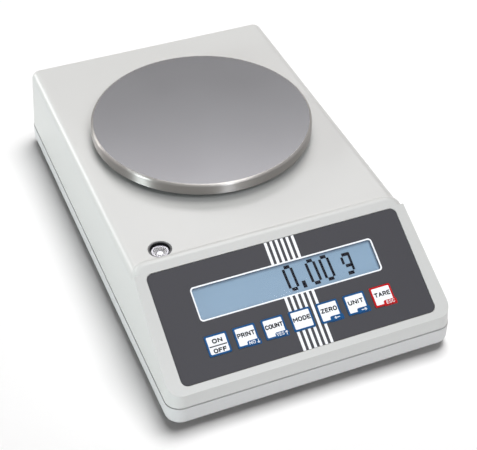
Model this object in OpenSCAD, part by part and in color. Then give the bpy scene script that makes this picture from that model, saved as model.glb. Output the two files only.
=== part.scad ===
/* [Body] */
// Width of the upper housing at the seam
body_width = 187; // [184:1:200]
// Depth of the housing at the seam
body_depth = 310; // [308:1:330]
// Height of the seam between base and housing above the floor
seam_height = 17.6; // [17:0.1:18.5]
// Height of the flat top of the housing
body_top = 63.5; // [62.8:0.1:64]
// How far the base stands above the floor on its feet
base_bottom = 5; // [4.6:0.1:5]
// Inward lean of the housing sides, mm per mm of height
side_draft = 0.075; // [0.06:0.005:0.08]
// Plan radius of the housing corners at the seam
corner_radius = 9.5; // [9:0.1:10.5]
// Radius of the rounded top edges
edge_radius = 5.4; // [4:0.1:5.5]
// Wall thickness of both plastic shells
wall = 2.6; // [2.2:0.1:2.8]
// Dark gap left between base rim and housing
seam_gap = 0.8; // [0.4:0.1:1]
// How far the base rim stands proud of the housing
rim_proud = 0.35; // [0:0.05:0.6]
// Radius of the bottom edge of the base
base_edge = 2.5; // [1:0.1:3]

/* [Control panel] */
// Height of the front edge of the sloping panel
panel_front = 27.7; // [27.4:0.1:29]
// Slope of the control panel, degrees
panel_angle = 28.8; // [28:0.1:29.2]
// Length of the sloping panel from the front edge to its crest
panel_length = 86.1; // [85:0.1:87]
// Thickness of the panel from its outer face
panel_wall = 4; // [3.6:0.1:4.2]
// Plan radius of the two raised rear corners
crest_corner = 9; // [8:0.1:10]
// Edge radius round the panel
panel_edge = 4.4; // [3:0.1:5]
// Width of the dark keypad sheet
sheet_width = 166; // [164:0.5:168]
// Length of the keypad sheet along the slope
sheet_length = 71; // [70:0.5:72]
// Distance of the sheet from the front edge of the panel
sheet_start = 5.1; // [4.5:0.1:5.6]
// Corner radius of the keypad sheet
sheet_corner = 4; // [2:0.1:6]
// Depth of the pocket that takes the sheet
pocket_depth = 1.6; // [1.5:0.05:1.8]
// Thickness of the printed sheet
sheet_thick = 0.6; // [0.4:0.05:0.6]
// Height of the sheet's face below the rim
sheet_sunk = 0.3; // [0.25:0.05:0.35]

/* [Display and keys] */
// Width of the clear window
window_width = 118.6; // [112:0.2:119]
// Height of the clear window along the slope
window_height = 20; // [18:0.1:20.4]
// Centre of the window along the slope
window_at = 50.3; // [50:0.1:50.7]
// Width of one key
key_width = 14; // [13:0.1:14.4]
// Height of one key
key_height = 12.9; // [12:0.1:13.4]
// Distance between key centres
key_pitch = 18.07; // [17.6:0.05:18.5]
// Centre of the key row along the slope
key_at = 23.8; // [23:0.1:24.2]
// Offset of the key row to the left
key_shift = 0.8; // [0:0.1:1]
// Number of keys in the row
key_count = 7; // [7:1:7]
// Gap round each key
key_gap = 0.16; // [0.12:0.01:0.25]
// How far a key stands above the sheet
key_proud = 0.35; // [0.2:0.01:0.4]
// Travel of a key
key_travel = 0.3; // [0.2:0.01:0.3]

/* [Weighing pan] */
// Diameter of the pan
pan_diameter = 150; // [140:1:154]
// Height of the pan's top face above the floor
pan_top = 75.5; // [75.3:0.1:77]
// Sheet thickness of the pan
pan_sheet = 1.2; // [1:0.1:1.5]
// Height of the turned-down rim
pan_rim = 7.4; // [6.5:0.1:7.6]
// Outer radius where the rim turns down
pan_bend = 1.7; // [1.6:0.1:2.2]
// Place of the pan centre behind the middle, as a share of the body's depth
pan_share = 0.1155; // [0.11:0.0005:0.12]
// Travel of the pan carrier at full load
weigh_travel = 0.2; // [0.15:0.01:0.25]

/* [Load cell] */
// Gap between the free end of the load cell and the main board
cell_room = 5.2; // [4:0.1:6]
// Width of the load cell
cell_width = 30; // [28:1:30]
// Height of the load cell
cell_height = 24; // [23:0.5:24]
// Diameter of the two bending bores
cell_bore = 17; // [15:0.5:18]
// Distance between the bending bores
cell_bore_pitch = 36; // [32:1:40]
// Radius of the stem hole in the housing
stem_hole = 13; // [12:0.5:15]
// Radius of the carrier stem
stem_radius = 8; // [7:0.5:9]

/* [Feet] */
// Distance of the feet in from the sides
foot_side = 23.5; // [22.5:0.5:25.5]
// Distance of the feet in from the front and the rear
foot_end = 37; // [35:0.5:40]
// Radius of the knurled foot wheel
wheel_radius = 12; // [11:0.5:12.5]
// Height of the knurled foot wheel
wheel_height = 6.2; // [5.5:0.1:6.4]
// Radius of the threaded foot stud
stud_radius = 3; // [2.5:0.5:3]
// Thickness of the rubber foot pad
pad_thick = 2.2; // [1.5:0.1:2.4]

/* [Level] */
// Radius of the hole for the spirit level
level_hole = 7.5; // [7:0.1:8]
// Distance of the level in from the left side
level_side = 26.5; // [24.5:0.5:29.5]
// Distance of the level behind the crest of the panel
level_back = 10.8; // [10.8:0.1:12.8]
// Depth of the vial's face below the top
vial_sunk = 1.8; // [1.4:0.1:2.4]
// Radius of the vial
vial_radius = 5.3; // [5:0.1:5.5]

/* [Hidden] */
$fn = 96;
eps = 0.01;
fit = 0.15;
free_fit = 0.35;
hw = body_width / 2;
hd = body_depth / 2;
ca = cos(panel_angle);
sa = sin(panel_angle);
lean = atan(side_draft);
pan_back = body_depth * pan_share;
foot_x = hw - foot_side;
foot_y = hd - foot_end;
skirt = seam_height + seam_gap;
base_floor = base_bottom + wall;
tongue_top = seam_height + 3.9;
front_y = -hd + side_draft * (panel_front - seam_height);
crest_y = front_y + panel_length * ca;
crest_z = panel_front + panel_length * sa;
crest_w = hw - side_draft * (crest_z - seam_height);
level_x = hw - level_side;
level_y = -crest_y - level_back;
inner_top = body_top - wall;
shelf_z = seam_height - 3;
pan_under = pan_top - pan_sheet;
cell_bottom = base_floor + 8;
cell_top = cell_bottom + cell_height;
board_front = hd - 49;
cell_back = board_front - cell_room;
cell_length = 2 * (cell_back - pan_back);
cell_front = cell_back - cell_length;
bridge_z = cell_top + weigh_travel + 0.02;
bridge_foot = 6;
arm_z = bridge_z + bridge_foot;
arm_thick = 5;
spider_z = body_top + 3.6;
spider_thick = 3;
collar_top = body_top + 2.4;
cell_end = cell_length * 3 / 13;
free_y = cell_back - cell_end / 2;
fix_spots = [cell_front + cell_end / 2 - 7, cell_front + cell_end / 2 + 5];
hook_y = free_y + 1;
pivot_y = hook_y + 18.5;
screw_x = hw - 10.5;
screw_y = hd - 11;
boss_top = seam_height + 6.4;
screw_head = base_bottom + 1.6;
head_seat = base_bottom + 4;
screw_end = boss_top + 4.4;
screw_spots = [
    [screw_x, screw_y], [-screw_x, screw_y], [screw_x, 8],
    [-screw_x, 8], [screw_x, -screw_y], [-screw_x, -screw_y]
];
foot_spots = [[-foot_x, -foot_y], [foot_x, -foot_y], [-foot_x, foot_y], [foot_x, foot_y]];
wheel_top = pad_thick + wheel_height;
wheel_room = wheel_top + 1;
nut_z = wheel_room + 2.4;
nut_height = 8;
stop_out = cell_width / 2 + 16;
stop_reach = (free_y - pan_back) * 0.54;
stop_spots = [
    [-stop_out, pan_back - stop_reach], [stop_out, pan_back - stop_reach],
    [-stop_out, pan_back + stop_reach], [stop_out, pan_back + stop_reach]
];
stop_post = base_floor + 28;
board_z = base_floor + 12.4;
board_thick = 1.6;
board_deck = board_z + board_thick;
board_back = hd - 7;
board_half = 60;
board_holes = [[-55, board_front + 4], [55, board_front + 4], [-55, board_back - 16], [55, board_back - 16]];
port_x = -30;
jack_x = 35;
port_half = 15.4;
port_high = 12.5;
port_z = board_deck + port_high / 2;
rear_in = hd - wall - side_draft * (board_deck + port_high - seam_height);
port_face = rear_in - 0.2;
jack_z = board_deck + 6.4;
jack_bore = 2.9;
display_n = -panel_wall - 8;
glass_top = -pocket_depth - 0.1;
glass_thick = 2.2;
glass_half = window_width / 2 + 0.2;
glass_rise = window_height / 2 + 0.9;
hole_half = glass_half + 0.4;
hole_rise = glass_rise + 0.4;
sheet_mid = sheet_start + sheet_length / 2;
sheet_under = -sheet_sunk - sheet_thick;
post_x = sheet_width / 2 - 13;
post_low = sheet_start + 9.9;
post_high = sheet_start + sheet_length - 10.1;
post_spots = [[-post_x, post_low], [post_x, post_low], [-post_x, post_high], [post_x, post_high]];
cover_thick = 1.4;
wheel_grips = 20;
dome_height = 0.25;
key_under = -pocket_depth + dome_height + key_travel + 0.03;
vial_height = 6;
vial_low = body_top - vial_sunk - vial_height;

// Things laid out on the sloping panel: x across, y up the slope, z outwards
module on_panel() {
    translate([0, front_y, panel_front]) rotate([panel_angle, 0, 0]) children();
}

// Rectangle with round corners, centred
module round_rect(w, d, r) {
    square([w - 2 * r, d], center = true);
    square([w, d - 2 * r], center = true);
    for (x = [-1, 1], y = [-1, 1])
        translate([x * (w / 2 - r), y * (d / 2 - r)]) circle(r);
}

// What a round of radius r takes off the corner p between edges towards u and v
module corner_cut(p, u, v, r) {
    a = u / norm(u);
    b = v / norm(v);
    half = acos(a * b) / 2;
    t = r / tan(half);
    c = p + (a + b) / norm(a + b) * r / sin(half);
    difference() {
        polygon([p + a * t, p - (a + b) * 3, p + b * t, c]);
        translate(c) circle(r);
    }
}

// Section of a leaning wall from its corner centre outwards
module lean_profile(r, low, top, f) {
    difference() {
        polygon([
            [0, low], [r - side_draft * (low - seam_height), low],
            [r - side_draft * (top - seam_height), top], [0, top]
        ]);
        if (f > 0)
            corner_cut([r - side_draft * (top - seam_height), top], [-1, 0], [side_draft, -1], f);
    }
}

// Box with leaning walls and round corners, built from its wall section
module lean_box(inset, low, top, f) {
    r = corner_radius - inset;
    cx = hw - corner_radius;
    cy = hd - corner_radius;
    translate([-cx, -cy, low]) cube([2 * cx, 2 * cy, top - low]);
    for (x = [-1, 1], y = [-1, 1])
        translate([x * cx, y * cy, 0]) rotate_extrude() lean_profile(r, low, top, f);
    for (q = [0, 1]) mirror([0, q, 0]) translate([-cx, cy, 0]) rotate([90, 0, 90])
        linear_extrude(2 * cx) lean_profile(r, low, top, f);
    for (q = [0, 1]) mirror([q, 0, 0]) translate([cx, cy, 0]) rotate([90, 0, 0])
        linear_extrude(2 * cy) lean_profile(r, low, top, f);
}

// Everything below the sloping panel, lowered by inset
module under_slope(inset) {
    translate([-hw - 10, 0, 0]) on_panel() translate([0, -60, -300 - inset])
        cube([2 * hw + 20, 560, 300]);
}

// Rounding cutter for the panel's outer edge where the wall faces direction turn
module rim_cut(turn, length) {
    n1 = [0, -sa, ca];
    n2 = [cos(lean) * cos(turn), -cos(lean) * sin(turn), sin(lean)];
    e = cross(n1, n2) / norm(cross(n1, n2));
    tilt = acos(e[2]);
    head = atan2(e[1], e[0]);
    ax = [cos(tilt) * cos(head), cos(tilt) * sin(head), -sin(tilt)];
    ay = [-sin(head), cos(head), 0];
    m1 = [n1 * ax, n1 * ay];
    m2 = [n2 * ax, n2 * ay];
    cy = hd - corner_radius;
    k = tan(panel_angle);
    z = (panel_front + k * (-cy - front_y - (corner_radius + side_draft * seam_height) * sin(turn)))
        / (1 - k * side_draft * sin(turn));
    r = corner_radius - side_draft * (z - seam_height);
    translate([hw - corner_radius + r * cos(turn), -cy - r * sin(turn), z])
        rotate([0, tilt, head]) translate([0, 0, -30]) linear_extrude(length + 30)
            corner_cut([0, 0], (m2 * m1) * m1 - m2, (m1 * m2) * m2 - m1, panel_edge);
}

// Outer form of the housing
module housing_form() {
    difference() {
        union() {
            intersection() {
                lean_box(0, skirt, body_top, edge_radius);
                under_slope(0);
            }
            difference() {
                intersection() {
                    lean_box(0, skirt, ceil(crest_z + 5), 0);
                    under_slope(0);
                    on_panel() translate([-hw - 5, panel_length - 24, -11]) cube([2 * hw + 10, 30, 20]);
                }
                on_panel() translate([-hw - 6, panel_length, -30]) cube([2 * hw + 12, 20, 60]);
                on_panel() translate([-hw, 0, 0]) rotate([90, 0, 90]) linear_extrude(2 * hw)
                    corner_cut([panel_length, 0], [-1, 0], [0, -1], panel_edge);
                for (q = [0, 1]) mirror([q, 0, 0]) on_panel()
                    translate([crest_w - crest_corner, panel_length - crest_corner, -12])
                        difference() {
                            cube([30, 30, 14]);
                            rotate_extrude() difference() {
                                square([crest_corner, 12]);
                                corner_cut([crest_corner, 12], [-1, 0], [0, -1], panel_edge);
                            }
                        }
            }
        }
        for (q = [0, 1]) mirror([q, 0, 0]) rim_cut(0, 95);
        for (q = [0, 1], t = [22.5, 45, 67.5]) mirror([q, 0, 0]) rim_cut(t, 30);
        rim_cut(90, 2 * hw);
    }
}

// Round rod with its axis along y, from y0 to y1
module rod_y(r, y0, y1) {
    translate([0, y0, 0]) rotate([-90, 0, 0]) cylinder(r = r, h = y1 - y0);
}

// Pan head screw standing on z = 0, thread upwards
module screw_up(head_r, head_h, r, length) {
    difference() {
        cylinder(r = head_r, h = head_h);
        translate([0, 0, -eps]) cylinder(r = head_r * 0.42, h = head_h * 0.55, $fn = 6);
    }
    translate([0, 0, head_h - eps]) cylinder(r = r, h = length + eps);
}

// Leaning D outline of the serial plug, grown by g
module plug_outline(g) {
    polygon([[-8.3 - g, 4.1 + g], [8.3 + g, 4.1 + g], [6.8 + g, -4.1 - g], [-6.8 - g, -4.1 - g]]);
}

// Where the keys lie on the sheet
module at_key(i) {
    translate([(i - (key_count + 1) / 2) * key_pitch - key_shift, key_at, 0]) children();
}

// Lower shell: floor, wall with proud rim, tongue, bosses, cell pedestal and ribs
module base_tray() color("#c4c5ca") {
    w = body_width + 2 * rim_proud;
    d = body_depth + 2 * rim_proud;
    r = corner_radius + rim_proud;
    in_w = body_width - 2 * (wall - 0.3);
    in_d = body_depth - 2 * (wall - 0.3);
    lip_w = body_width - 2 * (wall + 2);
    lip_d = body_depth - 2 * (wall + 2);
    difference() {
        union() {
            difference() {
                union() {
                    for (x = [-1, 1], y = [-1, 1]) translate([x * (w / 2 - r), y * (d / 2 - r), 0])
                        rotate_extrude() rim_profile(r);
                    for (q = [0, 1]) mirror([0, q, 0]) translate([r - w / 2, d / 2 - r, 0])
                        rotate([90, 0, 90]) linear_extrude(w - 2 * r) rim_profile(r);
                    for (q = [0, 1]) mirror([q, 0, 0]) translate([w / 2 - r, d / 2 - r, 0])
                        rotate([90, 0, 0]) linear_extrude(d - 2 * r) rim_profile(r);
                    translate([r - w / 2, r - d / 2, base_bottom])
                        cube([w - 2 * r, d - 2 * r, seam_height - base_bottom]);
                    translate([0, 0, seam_height - eps]) linear_extrude(tongue_top - seam_height)
                        round_rect(lip_w + 3, lip_d + 3, corner_radius - wall - 0.5);
                }
                translate([0, 0, base_floor]) linear_extrude(shelf_z - base_floor)
                    round_rect(in_w, in_d, corner_radius - wall + 0.3);
                translate([0, 0, shelf_z - eps]) linear_extrude(20)
                    round_rect(lip_w, lip_d, corner_radius - wall - 2);
            }
            floor_inside() {
                for (p = screw_spots) translate([p[0], p[1], base_bottom + 1])
                    cylinder(r = 5.6, h = boss_top - base_bottom - 1);
                for (p = foot_spots) translate([p[0], p[1], base_bottom + 1]) {
                    cylinder(r = wheel_radius + 3, h = wheel_room + 2.4 - base_bottom - 1);
                    cylinder(r = 7.6, h = nut_z + nut_height - base_bottom - 1);
                }
                for (p = stop_spots) translate([p[0], p[1], base_bottom + 1])
                    cylinder(r = 5.5, h = stop_post - base_bottom - 1);
                for (p = board_holes) translate([p[0], p[1], base_bottom + 1])
                    cylinder(r = 3.4, h = board_z - base_bottom - 1);
                translate([-cell_width / 2 - 3, cell_front - 4, base_bottom + 1])
                    cube([cell_width + 6, cell_end + 2, cell_bottom - base_bottom - 1]);
                translate([0, pivot_y, base_bottom + 1]) cylinder(r = 4.4, h = 9);
                for (x = [-1, 1]) translate([x * 44 - 0.9, -hd + 22, base_bottom + 1])
                    cube([1.8, 2 * hd - 44 - 44, 6.6]);
                for (y = [-hd + 77, -hd + 103]) translate([-hw + 4, y - 0.9, base_bottom + 1])
                    cube([2 * hw - 8, 1.8, 5.6]);
            }
        }
        for (p = screw_spots) translate([p[0], p[1], 0]) {
            cylinder(r = 3.9, h = head_seat);
            cylinder(r = 1.75 + fit, h = 60);
        }
        for (p = foot_spots) translate([p[0], p[1], 0]) {
            cylinder(r = wheel_radius + 1.2, h = wheel_room);
            translate([0, 0, nut_z]) cylinder(r = 5 + fit, h = 30);
            cylinder(r = stud_radius + 0.6, h = 60);
        }
        for (p = stop_spots) translate([p[0], p[1], base_floor + 12]) cylinder(r = 2.5 + fit, h = 60);
        for (p = board_holes) translate([p[0], p[1], base_floor + 3]) cylinder(r = 1.5 + fit, h = 60);
        for (y = fix_spots) translate([0, y, 0]) {
            cylinder(r = 5.6, h = base_bottom + 4);
            cylinder(r = 3 + fit, h = 60);
        }
        translate([0, hook_y, 0]) cylinder(r = 9.5, h = 30);
        translate([0, pivot_y, 0]) cylinder(r = 1.6 + fit, h = base_bottom + 8.2);
        translate([port_x - 17, hd - wall - 3, seam_height + 0.6]) cube([jack_x - port_x + 26, 4, 8]);
    }
}

// Section of the base wall from its corner centre outwards, its lower edge rounded
module rim_profile(r) {
    difference() {
        translate([0, base_bottom]) square([r, seam_height - base_bottom]);
        corner_cut([r, base_bottom], [-1, 0], [0, 1], base_edge);
    }
}

// Keeps what stands on the floor inside the base wall
module floor_inside() {
    intersection() {
        union() children();
        translate([0, 0, base_bottom]) linear_extrude(80)
            round_rect(body_width - 2 * wall, body_depth - 2 * wall, corner_radius - wall);
    }
}

// Upper shell: leaning walls, sloping panel, pan collar, screw posts and rear openings
module top_housing() color("#dcdcd6") difference() {
    union() {
        difference() {
            housing_form();
            intersection() {
                lean_box(wall, skirt - 1, inner_top, 0);
                under_slope(panel_wall);
            }
        }
        intersection() {
            union() {
                for (p = screw_spots) translate([p[0], p[1], boss_top + 0.02])
                    cylinder(r = 4.3, h = 60);
                on_panel() for (p = post_spots) translate([p[0], p[1], display_n + 0.02])
                    cylinder(r = 3.2, h = 10);
                translate([-level_x, -level_y, inner_top - 3]) difference() {
                    cylinder(r = 11.6, h = 5);
                    translate([0, 0, -1]) cylinder(r = 9.9, h = 5);
                }
                for (y = [crest_y + 38.8, cell_back + 8]) translate([-hw, y - 0.9, inner_top - 5])
                    cube([2 * hw, 1.8, 6]);
            }
            lean_box(1, skirt, body_top - 1, 0);
            under_slope(1);
        }
        translate([0, pan_back, inner_top]) cylinder(r = stem_hole + 2.4, h = collar_top - inner_top);
    }
    translate([0, pan_back, 0]) cylinder(r = stem_hole, h = 100);
    for (p = screw_spots) translate([p[0], p[1], 0]) cylinder(r = 1.75 + fit, h = screw_end + 0.6);
    on_panel() {
        for (p = post_spots) translate([p[0], p[1], display_n - 5])
            cylinder(r = 1.3 + fit, h = 10);
        translate([0, sheet_mid, -pocket_depth]) linear_extrude(5)
            round_rect(sheet_width + 0.6, sheet_length + 0.6, sheet_corner + 0.3);
        translate([-hole_half, window_at - hole_rise, -30]) cube([2 * hole_half, 2 * hole_rise, 30]);
        translate([40, sheet_start + 0.4, -30]) cube([24, 2.4, 30]);
    }
    translate([-level_x, -level_y, 0]) cylinder(r = level_hole, h = 100);
    translate([-level_x, -level_y, inner_top - 20]) cylinder(r = 9.9, h = 20);
    translate([port_x, hd, port_z]) rotate([90, 0, 0]) linear_extrude(20, center = true) {
        plug_outline(0.9);
        for (x = [-12.5, 12.5]) translate([x, 0]) circle(3.4);
    }
    translate([jack_x, hd - 10, jack_z]) rod_y(5.2, 0, 20);
}

// Six screws that hold the shells together from below
module housing_screws() color("#8d9094") for (p = screw_spots)
    translate([p[0], p[1], head_seat - 2.4]) screw_up(3.4, 2.4, 1.75, screw_end - head_seat);

// Pressed steel pan with a turned-down rim
module weighing_pan() color("#9b9c9e") translate([0, pan_back, 0]) rotate_extrude() {
    r = pan_diameter / 2;
    difference() {
        translate([0, pan_top - pan_rim]) square([r, pan_rim]);
        translate([-eps, pan_top - pan_rim - 1]) square([r - pan_sheet + eps, pan_rim + 1 - pan_sheet]);
        corner_cut([r, pan_top], [-1, 0], [0, -1], pan_bend);
    }
    translate([r - pan_sheet - 0.6, pan_top - pan_rim]) square([0.7, 0.9]);
}

// Ring under the pan that centres it on the spider hub
module locating_ring() color("#a3a4a6") translate([0, pan_back, pan_under - 3.3]) difference() {
    cylinder(r = 24, h = 3.3);
    translate([0, 0, -1]) cylinder(r = 22.4, h = 6);
}

// Cast aluminium cross that carries the pan on four buffers
module pan_spider() color("#b4b7ba") translate([0, pan_back, 0]) difference() {
    union() {
        translate([0, 0, spider_z]) cylinder(r = 21.8, h = spider_thick + 3.2);
        for (a = [45:90:315]) rotate([0, 0, a]) {
            translate([0, -6, spider_z]) cube([54, 12, spider_thick]);
            translate([54, 0, spider_z]) cylinder(r = 8, h = spider_thick);
            translate([26, -1.5, spider_z]) cube([20, 3, spider_thick + 2]);
        }
    }
    translate([0, 0, spider_z - 1]) cylinder(r = 2.5 + fit, h = 20);
    translate([0, 0, spider_z + spider_thick + 0.4]) cylinder(r = 5.6, h = 20);
    for (a = [45:90:315]) rotate([0, 0, a]) translate([54, 0, 0]) {
        translate([0, 0, spider_z - 1]) cylinder(r = 2.2, h = 20);
        translate([0, 0, spider_z + 1.2]) cylinder(r = 5.6, h = 20);
    }
}

// Screw that ties the spider to the stem
module spider_screw() color("#8d9094")
    translate([0, pan_back, spider_z + spider_thick + 2.8]) mirror([0, 0, 1])
        screw_up(4.6, 2.4, 2.5, 12);

// Four rubber buffers under the pan
module pan_buffers() color("#2a2b2d") translate([0, pan_back, 0]) for (a = [45:90:315])
    rotate([0, 0, a]) translate([54, 0, 0]) {
        translate([0, 0, spider_z + 1.2]) cylinder(r = 5.3, h = pan_under - spider_z - 1.2);
        translate([0, 0, spider_z]) cylinder(r = 2, h = 2);
    }

// Bracket from the free end of the cell to the pan stem
module carrier_bridge() color("#aeb1b5") difference() {
    union() {
        translate([-cell_width / 2 - 2, cell_back - cell_end, bridge_z])
            cube([cell_width + 4, cell_end, bridge_foot + arm_thick]);
        translate([-15, pan_back - 34, arm_z]) cube([30, cell_back - pan_back + 34, arm_thick]);
        for (y = [-stop_reach, stop_reach]) translate([-stop_out, pan_back + y - 7, arm_z])
            cube([2 * stop_out, 14, arm_thick]);
        for (p = stop_spots) translate([p[0], p[1], arm_z]) cylinder(r = 7, h = arm_thick);
        translate([0, pan_back, arm_z]) {
            cylinder(r = 13, h = arm_thick + 3);
            cylinder(r = stem_radius, h = spider_z - arm_z);
        }
        for (q = [0, 1]) mirror([q, 0, 0]) translate([11, pan_back + 10, arm_z])
            cube([3, cell_back - cell_end - pan_back - 10, arm_thick + 4]);
    }
    translate([0, pan_back, arm_z + 6]) cylinder(r = 2.5 + fit, h = 60);
    for (y = [-7, 7]) translate([0, free_y + y, 0]) {
        cylinder(r = 3 + fit, h = 90);
        translate([0, 0, arm_z]) cylinder(r = 5.6, h = 30);
    }
    for (q = [0, 1]) mirror([q, 0, 0]) translate([9, hook_y, bridge_z + 5.5])
        rotate([0, 90, 0]) cylinder(r = 1.5 + fit, h = 30);
}

// Two screws that fix the bridge on the free end
module bridge_screws() color("#3c3e41") for (y = [-7, 7])
    translate([0, free_y + y, arm_z + 4]) mirror([0, 0, 1]) screw_up(5, 4, 3, bridge_foot + 13);

// Aluminium bending beam with two bores joined by a slot
module load_cell() color("#c0c3c7") difference() {
    translate([-cell_width / 2, cell_front, cell_bottom]) cube([cell_width, cell_length, cell_height]);
    translate([-50, pan_back, cell_bottom + cell_height / 2]) rotate([0, 90, 0]) {
        for (y = [-1, 1]) translate([0, y * cell_bore_pitch / 2, 0]) cylinder(r = cell_bore / 2, h = 100);
        translate([-3, -cell_bore_pitch / 2, 0]) cube([6, cell_bore_pitch, 100]);
    }
    for (y = [-7, 7]) translate([0, free_y + y, cell_top - 15]) cylinder(r = 3 + free_fit, h = 20);
    for (y = fix_spots) translate([0, y, 0]) cylinder(r = 3 + fit, h = cell_bottom + 14);
}

// Two screws that fix the cell on its pedestal from below
module cell_screws() color("#3c3e41") for (y = fix_spots)
    translate([0, y, base_bottom]) screw_up(5, 4, 3, cell_bottom - base_bottom + 9);

// Four foil gauges over the thin webs
module strain_gauges() color("#c98a3c") for (y = [-1, 1])
    translate([-5, pan_back + y * cell_bore_pitch / 2 - 4, 0]) {
        translate([0, 0, cell_top]) cube([10, 8, 0.3]);
        translate([0, 0, cell_bottom - 0.3]) cube([10, 8, 0.3]);
    }

// Four stop screws under the bridge
module overload_stops() color("#6f7377") for (p = stop_spots)
    translate([p[0], p[1], stop_post - 10]) difference() {
        cylinder(r = 2.5, h = arm_z - stop_post + 10 - weigh_travel - 0.06);
        translate([0, 0, arm_z - stop_post + 7]) cylinder(r = 1.3, h = 10, $fn = 6);
    }

// Lock nuts of the stop screws
module stop_nuts() color("#b8a15a") for (p = stop_spots) translate([p[0], p[1], stop_post])
    difference() {
        cylinder(r = 4.6, h = 4, $fn = 6);
        translate([0, 0, -1]) cylinder(r = 2.5 + fit, h = 8);
    }

// Steel strap round the free end with a tapped boss for a hook
module hook_stirrup() color("#a7aaad") difference() {
    union() {
        for (q = [0, 1]) mirror([q, 0, 0]) translate([cell_width / 2 + 2, hook_y - 7, base_floor + 4])
            cube([2, 14, bridge_z + 6 - base_floor]);
        translate([-cell_width / 2 - 4, hook_y - 7, base_floor + 4]) cube([cell_width + 8, 14, 3]);
        translate([0, hook_y, base_floor + 2]) cylinder(r = 6, h = 5);
    }
    translate([0, hook_y, 0]) cylinder(r = 2.5, h = cell_bottom - 0.5);
    translate([-30, hook_y, bridge_z + 5.5]) rotate([0, 90, 0]) cylinder(r = 1.5 + fit, h = 60);
}

// Screws of the stirrup, one from each side
module stirrup_screws() color("#8d9094") for (q = [0, 1]) mirror([q, 0, 0])
    translate([cell_width / 2 + 6, hook_y, bridge_z + 5.5]) rotate([0, -90, 0])
        screw_up(2.8, 2, 1.5, 8);

// Swivel cover of the underfloor hook hole
module hook_cover() color("#55575b") translate([0, hook_y, base_bottom - cover_thick - 0.1]) difference() {
    union() {
        cylinder(r = 12.2, h = cover_thick);
        translate([-5, 0, 0]) cube([10, pivot_y - hook_y, cover_thick]);
        translate([0, pivot_y - hook_y, 0]) cylinder(r = 5, h = cover_thick);
        translate([-3, -15, 0]) cube([6, 8, cover_thick]);
    }
    translate([0, pivot_y - hook_y, -1]) cylinder(r = 1.6 + free_fit, h = 6);
}

// Screw the cover turns on
module cover_screw() color("#8d9094")
    translate([0, pivot_y, base_bottom - cover_thick - 1.3]) screw_up(3.4, 1.2, 1.6, 9);

// Circuit board at the rear
module main_board() color("#2f6b3c") difference() {
    translate([-board_half, board_front, board_z]) cube([2 * board_half, board_back - board_front, board_thick]);
    for (p = board_holes) translate([p[0], p[1], 0]) cylinder(r = 1.5 + fit, h = 60);
    for (x = [-12.5, 12.5]) translate([port_x + x, board_back - 6, 0]) cylinder(r = 1.3, h = 60);
}

// Four board screws
module board_screws() color("#8d9094") for (p = board_holes)
    translate([p[0], p[1], board_deck + 2]) mirror([0, 0, 1]) screw_up(2.8, 2, 1.5, 8);

// Chips, capacitors and crystal on the main board
module board_parts() color("#26282b") translate([0, board_front, board_deck]) {
    translate([4, 9, 0]) cube([12, 12, 1.6]);
    translate([22, 8, 0]) cube([8, 14, 2]);
    translate([-6, 24, 0]) cube([10, 8, 1.8]);
    translate([43, 19, 0]) cube([6.6, 9, 4.4]);
    translate([-8, 12, 0]) cylinder(r = 3.2, h = 8);
    translate([36, 14, 0]) cylinder(r = 4, h = 10);
    translate([20, 30, 0]) cylinder(r = 3.2, h = 8);
    translate([8, 30, 0]) cube([4.4, 8, 3.4]);
}

// Tinned can over the measuring circuit
module signal_shield() color("#b9bcc0") translate([-52, board_front + 9, board_deck]) difference() {
    cube([34, 15, 6]);
    translate([0.5, 0.5, -1]) cube([33, 14, 6.5]);
    for (x = [5:6:29], y = [4.5, 10.5]) translate([x, y, 0]) cylinder(r = 0.9, h = 10);
}

// Serial plug: flange, moulding and steel shell
module serial_port() color("#b7babd") translate([port_x, 0, port_z]) difference() {
    union() {
        translate([-port_half, port_face - 12, -port_high / 2]) cube([2 * port_half, 12, port_high]);
        translate([0, port_face + 5.4, 0]) rotate([90, 0, 0]) linear_extrude(6) plug_outline(0);
    }
    translate([0, port_face + 6, 0]) rotate([90, 0, 0]) linear_extrude(6.6) plug_outline(-0.6);
    for (x = [-12.5, 12.5]) translate([x, 0, 0]) rod_y(1.6 + fit, port_face - 8, port_face + 9);
    for (i = [0:8]) translate([(i < 5 ? i - 2 : i - 6.5) * 2.76, 0, i < 5 ? 1.42 : -1.42])
        rod_y(0.5 + fit, port_face - 6, port_face + 1);
}

// Nine contact pins
module serial_pins() color("#c8a24a") translate([port_x, 0, port_z]) for (i = [0:8])
    translate([(i < 5 ? i - 2 : i - 6.5) * 2.76, 0, i < 5 ? 1.42 : -1.42])
        rod_y(0.5, port_face - 6, port_face + 4.6);

// Two hexagon jackscrews with tapped ends
module jackscrews() color("#c2c5c8") translate([port_x, 0, port_z]) for (x = [-12.5, 12.5])
    translate([x, 0, 0]) difference() {
        union() {
            translate([0, port_face + 4.8, 0]) rotate([90, 0, 0]) cylinder(r = 2.85, h = 4.8, $fn = 6);
            rod_y(1.6, port_face - 7, port_face + 1);
        }
        rod_y(1.2, port_face - 0.6, port_face + 6);
    }

// Power inlet
module power_jack() color("#232427") translate([jack_x, 0, jack_z]) difference() {
    union() {
        translate([-5, port_face - 14, -jack_z + board_deck]) cube([10, 14, 11]);
        rod_y(4.7, port_face - 1, port_face + 2.4);
    }
    rod_y(jack_bore, port_face - 9, port_face + 4);
    rod_y(0.8 + fit, port_face - 12, port_face);
}

// Centre pin of the power inlet
module jack_pin() color("#c8c9cb") translate([jack_x, 0, jack_z]) {
    rod_y(1, port_face - 9, port_face + 1.4);
    rod_y(0.8, port_face - 12, port_face - 8.5);
}

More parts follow.
